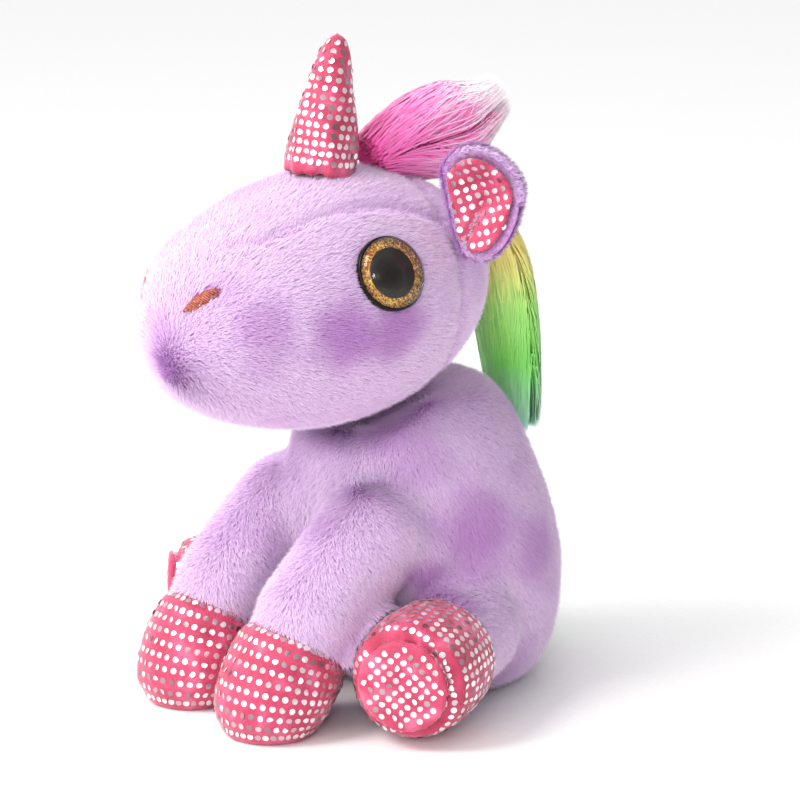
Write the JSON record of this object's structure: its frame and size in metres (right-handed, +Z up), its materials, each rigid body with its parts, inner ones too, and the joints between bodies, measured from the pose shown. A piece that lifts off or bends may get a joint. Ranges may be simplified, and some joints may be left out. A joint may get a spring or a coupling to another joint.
{
  "type": "plush unicorn",
  "caption": "Small sitting plush unicorn with short lavender pile, foil-dot horn, ear linings and hooves, safety eyes and a rainbow mane.",
  "frame": {"origin": "middle of the bounding box at the plane the toy sits on", "axes": "+Z up through the horn, -Y the way the toy faces, +X its own left side"},
  "size_m": [0.126, 0.13, 0.1794],
  "materials": {
    "lavender_plush": "matte",
    "pink_foil_dot_knit": "satin",
    "polyester_fibre_fill": "matte",
    "pellet_bag_nonwoven": "matte",
    "clear_acrylic": "gloss",
    "gold_glitter_film": "satin",
    "black_plastic": "gloss",
    "white_polyethylene": "satin",
    "brown_embroidery_thread": "satin",
    "pink_long_pile": "matte",
    "rainbow_long_pile": "matte"
  },
  "bodies": {
    "torso": {"torso_side_left": "lavender_plush", "torso_side_right": "lavender_plush", "belly_panel": "lavender_plush", "seat_panel": "lavender_plush", "torso_stuffing": "polyester_fibre_fill", "pellet_bag": "pellet_bag_nonwoven"},
    "neck": {"neck_plug": "lavender_plush"},
    "head": {"cheek_left": "lavender_plush", "cheek_right": "lavender_plush", "eye_dome_left": "clear_acrylic", "eye_dome_right": "clear_acrylic", "eye_iris_left": "gold_glitter_film", "eye_iris_right": "gold_glitter_film", "eye_post_left": "black_plastic", "eye_post_right": "black_plastic", "eye_washer_left": "white_polyethylene", "eye_washer_right": "white_polyethylene", "forehead_gusset": "lavender_plush", "forelock": "pink_long_pile", "head_back": "lavender_plush", "head_stuffing": "polyester_fibre_fill", "mane": "rainbow_long_pile", "nostril_stitching_left": "brown_embroidery_thread", "nostril_stitching_right": "brown_embroidery_thread"},
    "horn": {"horn_cover": "pink_foil_dot_knit", "horn_stuffing": "polyester_fibre_fill"},
    "ear_left": {"ear_outer_left": "lavender_plush", "ear_lining_left": "pink_foil_dot_knit"},
    "ear_right": {"ear_outer_right": "lavender_plush", "ear_lining_right": "pink_foil_dot_knit"},
    "tail": {"tail": "rainbow_long_pile"},
    "front_leg_left": {"front_sole_left": "pink_foil_dot_knit", "front_hoof_cap_left": "pink_foil_dot_knit", "front_sleeve_left": "lavender_plush", "front_stuffing_left": "polyester_fibre_fill"},
    "front_leg_right": {"front_sole_right": "pink_foil_dot_knit", "front_hoof_cap_right": "pink_foil_dot_knit", "front_sleeve_right": "lavender_plush", "front_stuffing_right": "polyester_fibre_fill"},
    "hind_leg_left": {"hind_sole_left": "pink_foil_dot_knit", "hind_hoof_cap_left": "pink_foil_dot_knit", "hind_sleeve_left": "lavender_plush", "hind_stuffing_left": "polyester_fibre_fill"},
    "hind_leg_right": {"hind_sole_right": "pink_foil_dot_knit", "hind_hoof_cap_right": "pink_foil_dot_knit", "hind_sleeve_right": "lavender_plush", "hind_stuffing_right": "polyester_fibre_fill"}
  },
  "joints": [
    {"name": "head_turn", "type": "hinge", "parent": "torso", "child": "neck", "pos_m": [0, 0.00953, 0.082], "axis": [0, 0, 1], "range_deg": [-12, 12], "stiffness_Nm_per_rad": 0.8},
    {"name": "head_nod", "type": "hinge", "parent": "neck", "child": "head", "pos_m": [0, 0.00953, 0.082], "axis": [1, 0, 0], "range_deg": [-6, 6], "stiffness_Nm_per_rad": 1.5},
    {"name": "ear_flop_left", "type": "hinge", "parent": "head", "child": "ear_left", "pos_m": [0.028, 0.00653, 0.134], "axis": [-0.1439, -0.1491, 0.9783], "range_deg": [-12, 12], "stiffness_Nm_per_rad": 0.02},
    {"name": "ear_flop_right", "type": "hinge", "parent": "head", "child": "ear_right", "pos_m": [-0.028, 0.00653, 0.134], "axis": [-0.1439, 0.1491, -0.9783], "range_deg": [-12, 12], "stiffness_Nm_per_rad": 0.02},
    {"name": "horn_bend", "type": "hinge", "parent": "head", "child": "horn", "pos_m": [0, -0.01447, 0.1456], "axis": [1, 0, 0], "range_deg": [-5, 5], "stiffness_Nm_per_rad": 0.06},
    {"name": "front_leg_swing_left", "type": "hinge", "parent": "torso", "child": "front_leg_left", "pos_m": [0.02, -0.00247, 0.057], "axis": [-1, 0, 0], "range_deg": [-2, 14], "stiffness_Nm_per_rad": 0.5},
    {"name": "front_leg_swing_right", "type": "hinge", "parent": "torso", "child": "front_leg_right", "pos_m": [-0.02, -0.00247, 0.057], "axis": [-1, 0, 0], "range_deg": [-2, 14], "stiffness_Nm_per_rad": 0.5},
    {"name": "hind_leg_lift_left", "type": "hinge", "parent": "torso", "child": "hind_leg_left", "pos_m": [0.03, 0.01553, 0.023], "axis": [-1, 0, 0], "range_deg": [0, 12], "stiffness_Nm_per_rad": 0.5},
    {"name": "hind_leg_lift_right", "type": "hinge", "parent": "torso", "child": "hind_leg_right", "pos_m": [-0.03, 0.01553, 0.023], "axis": [-1, 0, 0], "range_deg": [0, 12], "stiffness_Nm_per_rad": 0.5},
    {"name": "tail_swing", "type": "hinge", "parent": "torso", "child": "tail", "pos_m": [0, 0.05803, 0.023], "axis": [0, 0, 1], "range_deg": [-14, 5], "stiffness_Nm_per_rad": 0.02}
  ]
}
